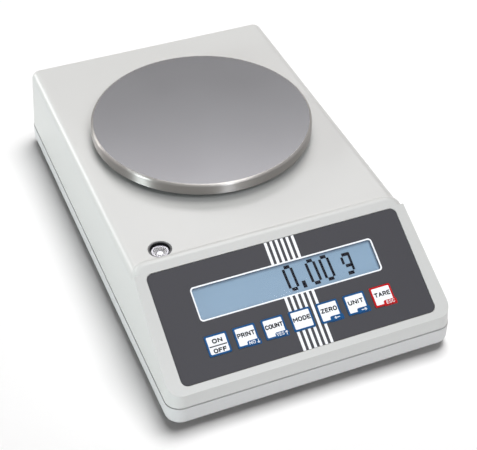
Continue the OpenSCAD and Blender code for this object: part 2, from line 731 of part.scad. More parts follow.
// Plugs of the inner cables
module cable_plugs() color("#e6e3d8") {
    translate([-16, board_front + 1.5, board_deck]) plug_box(12);
    translate([37.6, board_front + 1.5, board_deck]) plug_box(13);
    on_panel() {
        translate([37.6, 40, display_n - board_thick - 5]) cube([13, 6, 5]);
        translate([42, sheet_start + 9.2, display_n]) cube([20, 6, 2.4]);
    }
}

// One plug body, its cable side to the front
module plug_box(w) {
    cube([w, 6, 5]);
}

// Bundle of gauge wires from the cell to the board
module cell_wires() color("#b5482f") {
    y0 = pan_back + cell_bore_pitch / 2 + 6;
    x0 = -cell_width / 2 - 0.9;
    translate([x0, y0, cell_top - 2]) rotate([-90, 0, 0]) cylinder(r = 0.7, h = board_front - y0 - 2);
    translate([x0, board_front - 2.6, board_deck + 2]) cylinder(r = 0.7, h = cell_top - board_deck - 3.4);
    translate([x0, board_front - 3.2, board_deck + 2.6]) rotate([-90, 0, 0])
        cylinder(r = 0.7, h = 4.6);
    translate([x0 - 0.7, y0 - 1, cell_top - 3.1]) cube([1.6, 2, 2.2]);
}

// Flat cable from the display board to the main board
module ribbon_cable() color("#9a9ca0") translate([38.4, 0, 0]) rotate([90, 0, 90]) linear_extrude(11.4) {
    y0 = front_y + 43 * ca - (display_n - board_thick - 2.5) * sa;
    z0 = panel_front + 43 * sa + (display_n - board_thick - 2.5) * ca;
    z1 = board_deck + 2.6;
    y1 = board_front + 1.4;
    polygon([
        [y0 + 3.2 * ca, z0 + 3.2 * sa], [y0 + 14, z0 + 4], [y0 + 24, z1 + 14], [y1 - 40, z1 + 10],
        [y1 - 12, z1], [y1, z1], [y1, z1 - 0.9], [y1 - 12.4, z1 - 0.9], [y1 - 40.4, z1 + 9.1],
        [y0 + 23.4, z1 + 13.1], [y0 + 13.4, z0 + 3.2], [y0 + 3.4 * ca, z0 + 3.2 * sa - 0.9]
    ]);
}

// Circuit board behind the panel
module display_board() color("#2f6b3c") on_panel() translate([0, 0, display_n - board_thick])
    difference() {
        translate([-post_x - 5, post_low - 6, 0])
            cube([2 * post_x + 10, post_high - post_low + 10, board_thick]);
        for (p = post_spots) translate([p[0], p[1], -1]) cylinder(r = 1.3 + fit, h = 10);
    }

// Four screws of the display board
module display_screws() color("#8d9094") on_panel() for (p = post_spots)
    translate([p[0], p[1], display_n - board_thick - 1.8]) screw_up(2.6, 1.8, 1.3, board_thick + 4.4);

// Frame and light guide that hold the display glass
module lcd_frame() color("#d9dade") on_panel() difference() {
    translate([-glass_half - 4.5, window_at - glass_rise - 2.1, display_n])
        cube([2 * glass_half + 9, 2 * glass_rise + 4.2, -panel_wall - 0.1 - display_n]);
    translate([-glass_half - 0.3, window_at - glass_rise - 0.3, glass_top - glass_thick])
        cube([2 * glass_half + 0.6, 2 * glass_rise + 0.6, 10]);
    for (x = [-50:20:50]) translate([x, window_at, display_n - 1]) cylinder(r = 2.4, h = 4);
}

// Display glass
module lcd_glass() color("#86a2bc") on_panel()
    translate([-glass_half, window_at - glass_rise, glass_top - glass_thick])
        cube([2 * glass_half, 2 * glass_rise, glass_thick]);

// Lit segments of the reading, standing on the glass
module lcd_segments() color("#14161c") on_panel() translate([0, window_at, glass_top])
    linear_extrude(0.05) {
        for (x = [0, 15.2, 24.4]) translate([x - 0.1, 0]) digit_zero();
        translate([8.35, -7.9]) square([2.05, 4.3]);
        letter_g();
    }

// A tall narrow zero of four segments
module digit_zero() {
    for (x = [0, 5.15]) translate([x, 0])
        polygon([[-0.45, -5.6], [0.45, -5.6], [-0.05, 6.3], [-0.95, 6.3]]);
    translate([0.7, 6.85]) square([3.3, 1.75]);
    translate([0.9, -7.8]) square([3.4, 1.7]);
}

// The letter for grams in the same segments
module letter_g() {
    translate([38.7, 4.65]) square([4.3, 1.65]);
    translate([39, -2.6]) square([4.2, 1.55]);
    translate([38.85, -7.7]) square([3.5, 1.8]);
    translate([42.5, -5.3]) square([0.9, 11.5]);
    translate([37.4, -0.35]) square([0.9, 4.3]);
}

// Clear lens in the keypad sheet
module display_window() color("#9db4c8") on_panel() translate([0, window_at, -pocket_depth])
    linear_extrude(pocket_depth - sheet_sunk - 0.02) round_rect(window_width, window_height, 1.6);

// Printed sheet with openings for the window and the keys
module keypad_sheet() color("#525155") on_panel() translate([0, 0, sheet_under]) difference() {
    translate([0, sheet_mid, 0]) linear_extrude(sheet_thick)
        round_rect(sheet_width, sheet_length, sheet_corner);
    translate([0, window_at, -1]) linear_extrude(4)
        round_rect(window_width + 0.3, window_height + 0.3, 1.75);
    for (i = [1:key_count]) at_key(i) translate([0, 0, -1]) linear_extrude(4)
        round_rect(key_width + 2 * key_gap, key_height + 2 * key_gap, 0.9);
}

// Contact sheet under the keys, its tail bent down to the display board
module keypad_circuit() color("#b9b08a") on_panel() {
    translate([0, 0, -pocket_depth]) difference() {
        translate([0, sheet_mid, 0]) linear_extrude(pocket_depth + sheet_under)
            round_rect(sheet_width, sheet_length, sheet_corner);
        translate([-hole_half, window_at - hole_rise, -1]) cube([2 * hole_half, 2 * hole_rise, 4]);
        for (i = [1:key_count]) at_key(i) translate([0, 0, -1]) linear_extrude(4)
            round_rect(key_width + 2 * key_gap, key_height + 2 * key_gap, 0.9);
    }
    translate([43, sheet_start + 0.9, display_n + 1]) cube([18, 0.5, -display_n - 1 - pocket_depth + 0.1]);
    translate([43, sheet_start + 0.9, display_n + 1]) cube([18, 8.2, 0.5]);
}

// Snap domes under the keys
module key_domes() color("#d0d2d4") on_panel() for (i = [1:key_count])
    at_key(i) translate([0, 0, -pocket_depth]) cylinder(r1 = 4.5, r2 = 3, h = dome_height);

// One key
module key_cap(i) {
    on_panel() at_key(i) translate([0, 0, key_under]) linear_extrude(key_proud - sheet_sunk - key_under)
        round_rect(key_width, key_height, 0.8);
}

module key_1() color("#f4f5f7") key_cap(1);
module key_2() color("#f4f5f7") key_cap(2);
module key_3() color("#f4f5f7") key_cap(3);
module key_4() color("#f4f5f7") key_cap(4);
module key_5() color("#f4f5f7") key_cap(5);
module key_6() color("#f4f5f7") key_cap(6);
module key_7() color("#d81f26") key_cap(7);

// Black cup of the spirit level with a flange under the housing
module level_cup() color("#1b1b1e") translate([-level_x, -level_y, 0]) difference() {
    union() {
        translate([0, 0, vial_low - 1.6]) cylinder(r = level_hole - 0.2, h = body_top - vial_low + 1.3);
        translate([0, 0, inner_top - 2]) cylinder(r = 9.6, h = 2);
    }
    translate([0, 0, vial_low + vial_height - 0.6]) cylinder(r = level_hole - 1, h = 20);
    translate([0, 0, vial_low]) cylinder(r = vial_radius + 0.2, h = 20);
}

// Clear vial with a domed hollow
module level_vial() color("#cfe0d0") translate([-level_x, -level_y, vial_low]) difference() {
    cylinder(r = vial_radius, h = vial_height);
    translate([0, 0, 1.2]) cylinder(r = vial_radius - 1, h = vial_height - 2.6);
}

// Air bubble under the top of the vial
module level_bubble() color("#f5fbff") translate([-level_x, -level_y, vial_low + 3.7])
    rotate_extrude() difference() {
        square([2.1, 0.8]);
        corner_cut([2.1, 0], [-1, 0], [0, 1], 0.6);
    }

// Brass inserts for the foot studs
module foot_nuts() color("#b8a15a") for (p = foot_spots) translate([p[0], p[1], nut_z]) difference() {
    cylinder(r = 5, h = nut_height);
    translate([0, 0, -1]) cylinder(r = stud_radius + 0.1, h = nut_height + 2);
}

// Knurled wheel and stud of a levelling foot
module foot_screw(i) {
    translate([foot_spots[i][0], foot_spots[i][1], pad_thick]) difference() {
        union() {
            cylinder(r = wheel_radius, h = wheel_height);
            cylinder(r = stud_radius, h = nut_z + nut_height - pad_thick);
        }
        translate([0, 0, -1]) cylinder(r = 4.4, h = 3.2);
        for (a = [0:360 / wheel_grips:359]) rotate([0, 0, a]) translate([wheel_radius + 0.5, 0, -1])
            cylinder(r = 1.2, h = wheel_height + 2, $fn = 24);
    }
}

module foot_screw_1() color("#3a3b3e") foot_screw(0);
module foot_screw_2() color("#3a3b3e") foot_screw(1);
module foot_screw_3() color("#3a3b3e") foot_screw(2);
module foot_screw_4() color("#3a3b3e") foot_screw(3);

// Rubber pad with a spigot in the wheel
module foot_pad(i) {
    translate([foot_spots[i][0], foot_spots[i][1], 0]) {
        cylinder(r = 9.5, h = pad_thick);
        cylinder(r = 4, h = pad_thick + 2);
    }
}

module foot_pad_1() color("#222325") foot_pad(0);
module foot_pad_2() color("#222325") foot_pad(1);
module foot_pad_3() color("#222325") foot_pad(2);
module foot_pad_4() color("#222325") foot_pad(3);

base_tray();
top_housing();
housing_screws();
weighing_pan();
locating_ring();
pan_spider();
spider_screw();
pan_buffers();
carrier_bridge();
bridge_screws();
load_cell();
cell_screws();
strain_gauges();
overload_stops();
stop_nuts();
hook_stirrup();
stirrup_screws();
hook_cover();
cover_screw();
main_board();
board_screws();
board_parts();
signal_shield();
serial_port();
serial_pins();
jackscrews();
power_jack();
jack_pin();
cable_plugs();
cell_wires();
ribbon_cable();
display_board();
display_screws();
lcd_frame();
lcd_glass();
lcd_segments();
display_window();
keypad_sheet();
keypad_circuit();
key_domes();
key_1();
key_2();
key_3();
key_4();
key_5();
key_6();
key_7();
level_cup();
level_vial();
level_bubble();
foot_nuts();
foot_screw_1();
foot_screw_2();
foot_screw_3();
foot_screw_4();
foot_pad_1();
foot_pad_2();
foot_pad_3();
foot_pad_4();
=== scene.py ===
import math
import bmesh
import bpy
from mathutils import Matrix, Vector


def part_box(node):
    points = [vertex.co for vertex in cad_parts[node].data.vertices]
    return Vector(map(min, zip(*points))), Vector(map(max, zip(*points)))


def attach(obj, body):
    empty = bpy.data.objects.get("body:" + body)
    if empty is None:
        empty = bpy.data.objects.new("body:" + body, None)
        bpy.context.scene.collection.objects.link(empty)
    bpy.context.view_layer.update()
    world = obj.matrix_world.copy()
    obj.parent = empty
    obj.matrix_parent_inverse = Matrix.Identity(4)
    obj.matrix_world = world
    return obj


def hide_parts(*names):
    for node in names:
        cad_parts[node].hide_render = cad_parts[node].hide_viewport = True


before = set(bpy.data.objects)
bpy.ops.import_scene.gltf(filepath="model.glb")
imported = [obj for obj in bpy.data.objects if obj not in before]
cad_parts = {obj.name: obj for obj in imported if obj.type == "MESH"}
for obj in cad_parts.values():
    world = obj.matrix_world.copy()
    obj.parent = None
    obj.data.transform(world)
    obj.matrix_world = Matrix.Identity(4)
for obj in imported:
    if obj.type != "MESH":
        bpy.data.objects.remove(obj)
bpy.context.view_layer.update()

# Base tray
# Lower shell of the housing: an aluminium casting under light grey enamel with a fine
# orange peel. Its inner lip closes the seam below the upper shell, and is painted darker
# grey as shade in the seam gap.


class Value:
    """One value on its way through a tree of nodes, so that sums read as plain arithmetic."""

    def __init__(self, nodes, socket):
        self.nodes = nodes
        self.socket = socket

    def __add__(self, other):
        return self.nodes.sum("ADD", self, other)

    __radd__ = __add__

    def __sub__(self, other):
        return self.nodes.sum("SUBTRACT", self, other)

    def __rsub__(self, other):
        return self.nodes.sum("SUBTRACT", other, self)

    def __mul__(self, other):
        return self.nodes.sum("MULTIPLY", self, other)

    __rmul__ = __mul__

    def __abs__(self):
        return self.nodes.sum("ABSOLUTE", self)


class Nodes:
    """A tree of nodes and the one way to add any of them."""

    def __init__(self, tree):
        self.tree = tree

    def node(self, kind, settings=None, sockets=None, give=0, family="ShaderNode"):
        """Any node: its settings first, then the values or links of its sockets."""
        made = self.tree.nodes.new(family + kind)
        for key, value in (settings or {}).items():
            setattr(made, key, value)
        for key, value in (sockets or {}).items():
            self.feed(made.inputs[key], value)
        return Value(self, made.outputs[give])

    def feed(self, socket, value):
        """Links a value to a socket, or sets the socket to what is given."""
        if isinstance(value, Value):
            self.tree.links.new(value.socket, socket)
        else:
            socket.default_value = value

    def sum(self, how, *terms, clamp=False):
        """A Math node."""
        return self.node(
            "Math", {"operation": how, "use_clamp": clamp}, dict(enumerate(terms))
        )


class Shading(Nodes):
    """The nodes of a material, or of the surroundings."""

    def __init__(self, owner, kind):
        owner.use_nodes = True
        owner.node_tree.nodes.clear()
        super().__init__(owner.node_tree)
        self.owner = owner
        self.end = self.tree.nodes.new("ShaderNodeOutput" + kind).inputs[0]

    def show(self, shader):
        """Makes this shader the one that is seen."""
        self.feed(self.end, shader)

    def mixed(self, share, first, second):
        """The first shader where share is 0, and the second where it is 1."""
        return self.node("MixShader", None, {0: share, 1: first, 2: second})


class Finish(Shading):
    """A procedural finish: one Principled shader and the nodes that vary it."""

    def __init__(self, name, colour, rough, metal=0.0, **fixed):
        super().__init__(bpy.data.materials.new(name), "Material")
        self.skin = self.tree.nodes.new("ShaderNodeBsdfPrincipled")
        self.body = Value(self, self.skin.outputs[0])
        self.skin.inputs["Base Color"].default_value = colour
        self.skin.inputs["Roughness"].default_value = rough
        self.skin.inputs["Metallic"].default_value = metal
        for key, value in fixed.items():
            self.skin.inputs[key.replace("_", " ")].default_value = value
        self.show(self.body)

    def along(self, axis):
        """How far along X, Y or Z a point of the balance is, in metres."""
        where = self.node("TexCoord", give="Object")
        return self.node("SeparateXYZ", None, {0: where}, give=axis)

    def from_axis(self, at_x, at_y):
        """Distance in metres from an upright axis."""
        u, v = self.along("X") - at_x, self.along("Y") - at_y
        return self.sum("SQRT", u * u + v * v)

    def grain(self, size, detail=2.0, stretch=(1.0, 1.0, 1.0)):
        """Noise from 0 to 1 whose grains are about size metres across."""
        where = self.node("TexCoord", give="Object")
        drawn = self.node("VectorMath", {"operation": "MULTIPLY"}, {0: where, 1: stretch})
        return self.node(
            "TexNoise", None, {"Vector": drawn, "Scale": 1.0 / size, "Detail": detail}
        )

    def over(self, under, mask, colour):
        """Lays colour over another one where mask is 1."""
        return self.node("Mix", {"data_type": "RGBA"}, {0: mask, 6: under, 7: colour}, give=2)

    def inside(self, distance, blur=0.00004):
        """Mask of 1 where a distance in metres is below zero."""
        return self.sum("MULTIPLY_ADD", distance, -1.0 / blur, 0.5, clamp=True)

    def beyond(self, distance, start, width):
        """Mask that rises from 0 at start to 1 over width, both in metres."""
        return self.sum("MULTIPLY_ADD", distance, 1.0 / width, -start / width, clamp=True)

    def panel(self, u, v, half_u, half_v, r):
        """Distance to a rectangle with round corners, below zero inside it."""
        past_u, past_v = abs(u) - (half_u - r), abs(v) - (half_v - r)
        du, dv = self.sum("MAXIMUM", past_u, 0.0), self.sum("MAXIMUM", past_v, 0.0)
        corner = self.sum("SQRT", du * du + dv * dv)
        within = self.sum("MINIMUM", self.sum("MAXIMUM", past_u, past_v), 0.0)
        return corner + within - r

    def not_behind(self):
        """1 on the outer side of a clear wall and 0 on its inner side, which would mirror."""
        return 1 - self.node("NewGeometry", give="Backfacing")

    def paint(self, colour):
        """The colour of the surface, which may change over it."""
        self.feed(self.skin.inputs["Base Color"], colour)

    def gloss(self, rough):
        """The roughness of the surface, which may change over it."""
        self.feed(self.skin.inputs["Roughness"], rough)

    def relief(self, height, depth):
        """Fine relief depth metres deep."""
        bump = self.node("Bump", None, {"Distance": depth, "Height": height})
        self.feed(self.skin.inputs["Normal"], bump)


def tone(r, g, b):
    """A colour as seen on screen, from 0 to 255, as the light it stands for."""
    out = []
    for v in (r, g, b):
        v /= 255.0
        out.append(v / 12.92 if v <= 0.04045 else ((v + 0.055) / 1.055) ** 2.4)
    return (*out, 1.0)


def darker(colour, share):
    """The same colour with this share of its light taken away."""
    return (*[c * (1.0 - share) for c in colour[:3]], 1.0)


def dress(finish, *names):
    """Gives these CAD nodes a finish through their material slots."""
    for name in names:
        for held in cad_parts[name].material_slots:
            held.material = finish.owner


def moulded(name, colour, rough, grain=0.0004, depth=0.000012, vary=0.035, **fixed):
    """Moulded plastic: faint cloudiness, eroded grain, uneven gloss."""
    made = Finish(name, colour, rough, **fixed)
    cloud = made.grain(size=0.03, detail=3.0)
    fine = made.grain(size=grain)
    made.paint(made.over(colour, cloud * 0.6 + fine * 0.4, darker(colour, vary)))
    made.gloss(rough - 0.05 + fine * 0.1)
    made.relief(fine, depth)
    return made


tongue_foot = 0.01766
base_enamel = Finish("base_enamel", tone(199, 200, 205), 0.46)
cloud = base_enamel.grain(size=0.04, detail=3.0)
peel = base_enamel.grain(size=0.00045)
body_tone = base_enamel.over(
    tone(202, 201, 200), cloud * 0.5 + peel * 0.5, tone(195, 194, 193)
)
# Painted shade: the enamel above tongue_foot is darker grey, for the shadow in the seam gap.
seam_shade = base_enamel.inside(tongue_foot - base_enamel.along("Z"))
base_enamel.paint(base_enamel.over(body_tone, seam_shade, tone(168, 169, 170)))
base_enamel.gloss(0.42 + peel * 0.1)
base_enamel.relief(peel, 0.000014)
dress(base_enamel, "base_tray")


# Levelling feet
# Four feet: a knurled wheel of glass-filled nylon moulded on a steel stud, run in a brass
# insert of the base, with a rubber pad that snaps into the wheel from below.

feet = (1, 2, 3, 4)
nylon = moulded("black_nylon", tone(52, 53, 56), 0.5, 0.0006, 0.00002, 0.25)
dress(nylon, *["foot_screw_%d" % i for i in feet])
rubber = moulded("pad_rubber", tone(38, 39, 41), 0.78, 0.0005, 0.00003, 0.3)
dress(rubber, *["foot_pad_%d" % i for i in feet])


def turned(name, colour, rough, size=0.0006, stretch=(1.0, 1.0, 1.0), depth=0.000004):
    """Machined or drawn metal: fine streaks in gloss and height, slight tarnish."""
    made = Finish(name, colour, rough, metal=1.0)
    streak = made.grain(size, 3.0, stretch)
    stain = made.grain(size=0.012)
    made.paint(made.over(colour, stain * 0.7 + streak * 0.3, darker(colour, 0.18)))
    made.gloss(rough - 0.06 + streak * 0.14)
    made.relief(streak, depth)
    return made


brass = turned("brass", tone(196, 168, 98), 0.32, 0.0005, (1.0, 1.0, 6.0))
dress(brass, "foot_nuts", "stop_nuts")
stud_steel = turned("stud_steel", tone(176, 178, 182), 0.3, 0.0006, (1.0, 1.0, 8.0))


def put(name, data):
    """Puts a mesh, lamp or camera in the scene under this name."""
    made = bpy.data.objects.new(name, data)
    bpy.context.scene.collection.objects.link(made)
    return made


def meshed(name, shape):
    """Mesh of a shape that is finished."""
    mesh = bpy.data.meshes.new(name)
    shape.to_mesh(mesh)
    shape.free()
    return mesh


class Pattern(Nodes):
    """A geometry tree with named sizes that repeats one shape."""

    def __init__(self, name, **sizes):
        super().__init__(bpy.data.node_groups.new(name + "_tree", "GeometryNodeTree"))
        ends = self.tree.interface
        ends.new_socket("Geometry", in_out="INPUT", socket_type="NodeSocketGeometry")
        self.keys = {}
        for size, kind in sizes.items():
            made = ends.new_socket(size, in_out="INPUT", socket_type="NodeSocket" + kind)
            self.keys[size] = made.identifier
        ends.new_socket("Geometry", in_out="OUTPUT", socket_type="NodeSocketGeometry")
        given = self.tree.nodes.new("NodeGroupInput").outputs
        self.given = {name: Value(self, given[name]) for name in ("Geometry", *sizes)}
        self.end = self.tree.nodes.new("NodeGroupOutput").inputs[0]

    def shape(self, kind, sockets, **settings):
        """A node that makes or changes a shape."""
        return self.node(kind, settings, sockets, family="GeometryNode")

    def repeat(self, one, count, step, material):
        """Sets count copies of one shape in a line, each a step from the last."""
        line = self.shape("MeshLine", {"Count": count, "Offset": step}, mode="OFFSET")
        copies = self.shape("InstanceOnPoints", {"Points": line, "Instance": one})
        real = self.shape("RealizeInstances", {0: copies})
        self.feed(self.end, self.shape("SetMaterial", {0: real, "Material": material}))

    def baked(self, name, seed, sizes, places, body):
        """One plain piece of what the pattern makes of a seed mesh, repeated at places."""
        holder = put(name + "_holder", seed)
        modifier = holder.modifiers.new("pattern", "NODES")
        modifier.node_group = self.tree
        for size, value in sizes.items():
            modifier[self.keys[size]] = value
        bpy.context.view_layer.update()
        seen = holder.evaluated_get(bpy.context.evaluated_depsgraph_get())
        one = bpy.data.meshes.new_from_object(seen)
        holder.modifiers.clear()
        bpy.data.objects.remove(holder)
        whole = bmesh.new()
        for spot in places:
            extra = one.copy()
            extra.transform(spot)
            whole.from_mesh(extra)
            bpy.data.meshes.remove(extra)
        bmesh.ops.recalc_face_normals(whole, faces=whole.faces)
        mesh = meshed(name, whole)
        for held in one.materials:
            mesh.materials.append(held)
        piece = put(name, mesh)
        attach(piece, body)
        return piece


thread_pitch, crest_radius = 0.001, 0.00292
wheel_top, bare_end = 0.0068, 0.0006
thread = Pattern("stud_thread", Length="Float", Pitch="Float", Radius="Float")
turns = thread.sum("DIVIDE", thread.given["Length"], thread.given["Pitch"])
rise = thread.node("CombineXYZ", None, {"Z": thread.given["Pitch"]})
once_round = thread.shape(
    "CurvePrimitiveCircle", {"Resolution": 40, "Radius": thread.given["Radius"]}
)
bead = thread.shape("CurvePrimitiveCircle", {"Resolution": 4, "Radius": thread_pitch * 0.3})
crest = thread.shape("CurveToMesh", {"Curve": once_round, "Profile Curve": bead})
thread.repeat(crest, turns, rise, stud_steel.owner)
for i in feet:
    foot_low, foot_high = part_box("foot_screw_%d" % i)
    low, high = foot_low[2] + wheel_top, foot_high[2] - bare_end
    middle = ((foot_low[0] + foot_high[0]) / 2, (foot_low[1] + foot_high[1]) / 2, low)
    rings = thread.baked(
        "stud_thread_%d" % i, bpy.data.meshes.new("stud_seed"),
        {"Length": high - low, "Pitch": thread_pitch, "Radius": crest_radius},
        [Matrix.Translation(middle)], "wheel_%d" % i,
    )


# Fastenings
# Screws that hold the shells, boards and bridge: zinc-plated pan heads, and black oxide
# socket heads on the load cell.

zinc = turned("zinc_plate", tone(178, 181, 186), 0.34)
dress(
    zinc, "housing_screws", "spider_screw", "cover_screw", "board_screws",
    "display_screws", "stirrup_screws", "overload_stops",
)
oxide = turned("black_oxide", tone(92, 94, 98), 0.42)
dress(oxide, "bridge_screws", "cell_screws")


# Load cell and carrier
# The weighing train: a milled aluminium bending beam on the base, foil gauges over its
# thin webs, a milled bridge and cast spider that carry the pan on four rubber buffers.

beam_metal = turned("beam_aluminium", tone(206, 208, 211), 0.33, 0.0005, (1.0, 0.08, 1.0))
dress(beam_metal, "load_cell")
bridge_metal = turned("bridge_aluminium", tone(190, 193, 197), 0.38, 0.0005, (0.1, 1.0, 1.0))
dress(bridge_metal, "carrier_bridge")
cast_metal = turned("cast_aluminium", tone(184, 187, 190), 0.52, 0.0014, depth=0.00005)
dress(cast_metal, "pan_spider")
strap_metal = turned("strap_steel", tone(174, 177, 181), 0.36, 0.0004, (1.0, 1.0, 0.1))
dress(strap_metal, "hook_stirrup")
dress(rubber, "pan_buffers")

gauge_loop = 0.0008
copper = tone(203, 146, 72)
foil = Finish("gauge_foil", copper, 0.35, metal=0.6)
loops = foil.sum("SINE", foil.along("Y") * (2.0 * math.pi / gauge_loop))
foil.paint(foil.over(copper, foil.inside(0.0 - loops, 0.4), tone(120, 74, 34)))
foil.relief(loops, 0.00002)
dress(foil, "strain_gauges")

cover_skin = moulded("cover_plastic", tone(96, 98, 103), 0.5, 0.0005, 0.00002, 0.12)
dress(cover_skin, "hook_cover")


# Boards and connectors
# Main board with its parts, shield can, serial plug and power inlet, and the display
# board: glass-fibre laminate under green lacquer, tinned and gold-plated contacts.

glass_weave = 0.0009
trace_half, trace_gap = 0.0004, 0.0016
lacquer = Finish("board_lacquer", tone(40, 104, 62), 0.3, Coat_Weight=0.4)
x, y = lacquer.along("X"), lacquer.along("Y")
warp = lacquer.sum("SINE", x * (2.0 * math.pi / glass_weave))
weft = lacquer.sum("SINE", y * (2.0 * math.pi / glass_weave))
rows = lacquer.sum("PINGPONG", x + lacquer.grain(size=0.02, detail=0.0) * 0.006, trace_gap)
traces = lacquer.inside(rows - trace_half)
tracked = lacquer.over(tone(36, 96, 56), traces, tone(64, 136, 80))
lacquer.paint(lacquer.over(tracked, warp * weft * 0.08 + 0.08, tone(24, 70, 40)))
lacquer.relief(traces, 0.00003)
dress(lacquer, "main_board", "display_board")

chip_resin = moulded("chip_resin", tone(44, 46, 49), 0.55, 0.0003, 0.00001, 0.3)
dress(chip_resin, "board_parts", "power_jack")
can_tin = turned("can_tin", tone(198, 200, 203), 0.3)
dress(can_tin, "signal_shield")
shell_nickel = turned("plug_shell", tone(190, 192, 196), 0.3, 0.0004, (0.1, 1.0, 1.0))
dress(shell_nickel, "serial_port", "jackscrews", "jack_pin")
gold = turned("contact_gold", tone(212, 176, 92), 0.24)
dress(gold, "serial_pins")
plug_resin = moulded("plug_resin", tone(226, 222, 208), 0.5)
dress(plug_resin, "cable_plugs")
wire_skin = moulded("wire_skin", tone(168, 66, 48), 0.45, grain=0.002)
dress(wire_skin, "cell_wires")

contact_pitch = 0.00127
flat_cable = Finish("flat_cable", tone(158, 160, 164), 0.5)
ridge = flat_cable.sum("SINE", flat_cable.along("X") * (2.0 * math.pi / contact_pitch))
flat_cable.paint(
    flat_cable.over(tone(150, 152, 157), ridge * 0.5 + 0.5, tone(184, 186, 190))
)
flat_cable.relief(ridge, 0.0002)
dress(flat_cable, "ribbon_cable")

leg_high, leg_thick, leg_reach = 0.0011, 0.00015, 0.0012
legs = Pattern("chip_legs", Legs="Int", Pitch="Float")
along = legs.node("CombineXYZ", None, {"X": legs.given["Pitch"]})
legs.repeat(legs.given["Geometry"], legs.given["Legs"], along, can_tin.owner)


def prism(shape, under, over):
    """Adds a closed prism between two outlines that have the same number of points."""
    under, over = [[shape.verts.new(point) for point in outline] for outline in (under, over)]
    shape.faces.new(under[::-1])
    shape.faces.new(over)
    for k in range(len(under)):
        n = (k + 1) % len(under)
        shape.faces.new((under[k], under[n], over[n], over[k]))


def bent_leg():
    """Mesh of one tinned leg: out from the chip, down to the board and flat on it."""
    bent = bmesh.new()
    half = contact_pitch * 0.24
    side = [
        (0, leg_high), (0.0005, leg_high), (0.0007, leg_thick), (leg_reach, leg_thick),
        (leg_reach, 0.0), (0.00055, 0.0), (0.00035, leg_high - leg_thick),
        (0, leg_high - leg_thick),
    ]
    prism(bent, [(half, py, pz) for py, pz in side], [(-half, py, pz) for py, pz in side])
    return meshed("chip_leg", bent)


board_low, board_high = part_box("main_board")
half_turn = Matrix.Rotation(math.pi, 4, "Z")
chips = (
    (8, (0.0055, 0.021), (0.0144, 0.009)),
    (5, (0.0236, 0.022), (0.0286, 0.008)),
    (6, (-0.0045, 0.032), (0.0019, 0.024)),
)
for i, (count, *row_starts) in enumerate(chips):
    back, front = [
        Matrix.Translation((px, board_low[1] + py, board_high[2])) for px, py in row_starts
    ]
    piece = legs.baked(
        "chip_legs_%d" % (i + 1), bent_leg(), {"Legs": count, "Pitch": contact_pitch},
        [back, front @ half_turn], "housing",
    )


# Upper housing
# Upper shell: one ABS moulding in warm light grey with a fine grain, the raised panel
# moulded with it. It is screwed to the base from below.

shell_plastic = Finish("shell_plastic", tone(199, 198, 194), 0.4)
cloud = shell_plastic.grain(size=0.05, detail=3.0)
spark = shell_plastic.grain(size=0.00045)
shell_plastic.paint(
    shell_plastic.over(tone(203, 202, 199), cloud * 0.5 + spark * 0.5, tone(197, 196, 193))
)
shell_plastic.gloss(0.3 + spark * 0.06)
shell_plastic.relief(spark, 0.000012)
dress(shell_plastic, "top_housing")


# Spirit level
# Round level sunk in the top: a black cup, a clear vial with a printed target ring and a
# pale liquid, and the bubble under its domed lid.

cup_low, cup_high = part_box("level_cup")
level_x, level_y = (cup_low[0] + cup_high[0]) / 2, (cup_low[1] + cup_high[1]) / 2
cup_plastic = moulded("level_cup_plastic", tone(34, 34, 37), 0.28, 0.0008, 0.000006, 0.3)
dress(cup_plastic, "level_cup")

target_radius, target_half = 0.0034, 0.0002
pool_radius, lid_radius, lid_foot = 0.0054, 0.0042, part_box("level_vial")[0][2] + 0.0014
vial = Finish("level_vial_acrylic", tone(214, 213, 218), 0.08, Coat_Weight=1.0)
across = vial.from_axis(level_x, level_y)
ringed = vial.inside(abs(across - target_radius) - target_half)
pool = vial.over(tone(150, 146, 158), vial.grain(size=0.0012), tone(132, 128, 142))
pool = vial.over(pool, vial.inside(pool_radius - across), tone(28, 26, 31))
vial.paint(vial.over(pool, ringed, tone(36, 34, 40)))
vial.gloss(0.07 + vial.grain(size=0.0006) * 0.05)
lid = vial.inside(lid_foot - vial.along("Z")) * vial.inside(across - lid_radius)
clear = vial.node("BsdfTransparent", None, {"Color": (0.97, 0.97, 0.98, 1.0)})
shine = vial.node("BsdfGlossy", None, {"Color": (1, 1, 1, 1), "Roughness": 0.03})
mirror = vial.node("Fresnel", None, {"IOR": 1.49}) * vial.not_behind()
vial.show(vial.mixed(lid * (1 - ringed), vial.body, vial.mixed(mirror, clear, shine)))
dress(vial, "level_vial")

# Painted light: the bubble is painted near white with a dark grey rim, for light bent through it.
bubble_edge = 0.0016
air = Finish("bubble_air", tone(222, 222, 228), 0.04, Coat_Weight=1.0)
bubble_rim_shade = air.inside(bubble_edge - air.from_axis(level_x, level_y), 0.0003)
bubble_painted_bright = air.over(tone(250, 251, 251), air.grain(size=0.001), tone(236, 238, 240))
air.paint(air.over(bubble_painted_bright, bubble_rim_shade, tone(66, 64, 72)))
dress(air, "level_bubble")


# Display
# Reflective liquid crystal display in a white frame below the panel: pale blue glass with
# dark segments, under a clear lens bonded into the keypad sheet. The glass is painted
# darker along its top and right edges as shadow of the frame, and glows faintly in its
# own colour as painted light.

slope = math.radians(28.8)
front_y, front_z = -0.1542425, 0.0277
window_s = 0.0503


def up_slope(finish):
    """x across and s up the sloping panel from its front edge, in metres."""
    x, y, z = [finish.along(axis) for axis in "XYZ"]
    return x, (y - front_y) * math.cos(slope) + (z - front_z) * math.sin(slope)


def standing(right, up, out, at):
    """Matrix that turns a thing to these three axes and moves it to a place."""
    return Matrix.Translation(at) @ Matrix((right, up, out)).transposed().to_4x4()


def on_slope(x, s, n):
    """Matrix that lays a flat drawing on the sloping panel, n metres above its face."""
    up = Vector((0, math.cos(slope), math.sin(slope)))
    out = Vector((0, -math.sin(slope), math.cos(slope)))
    at = Vector((x, front_y, front_z)) + up * s + out * n
    return standing(Vector((1, 0, 0)), up, out, at)


frame_white = moulded("display_frame", tone(226, 227, 230), 0.5)
dress(frame_white, "lcd_frame")
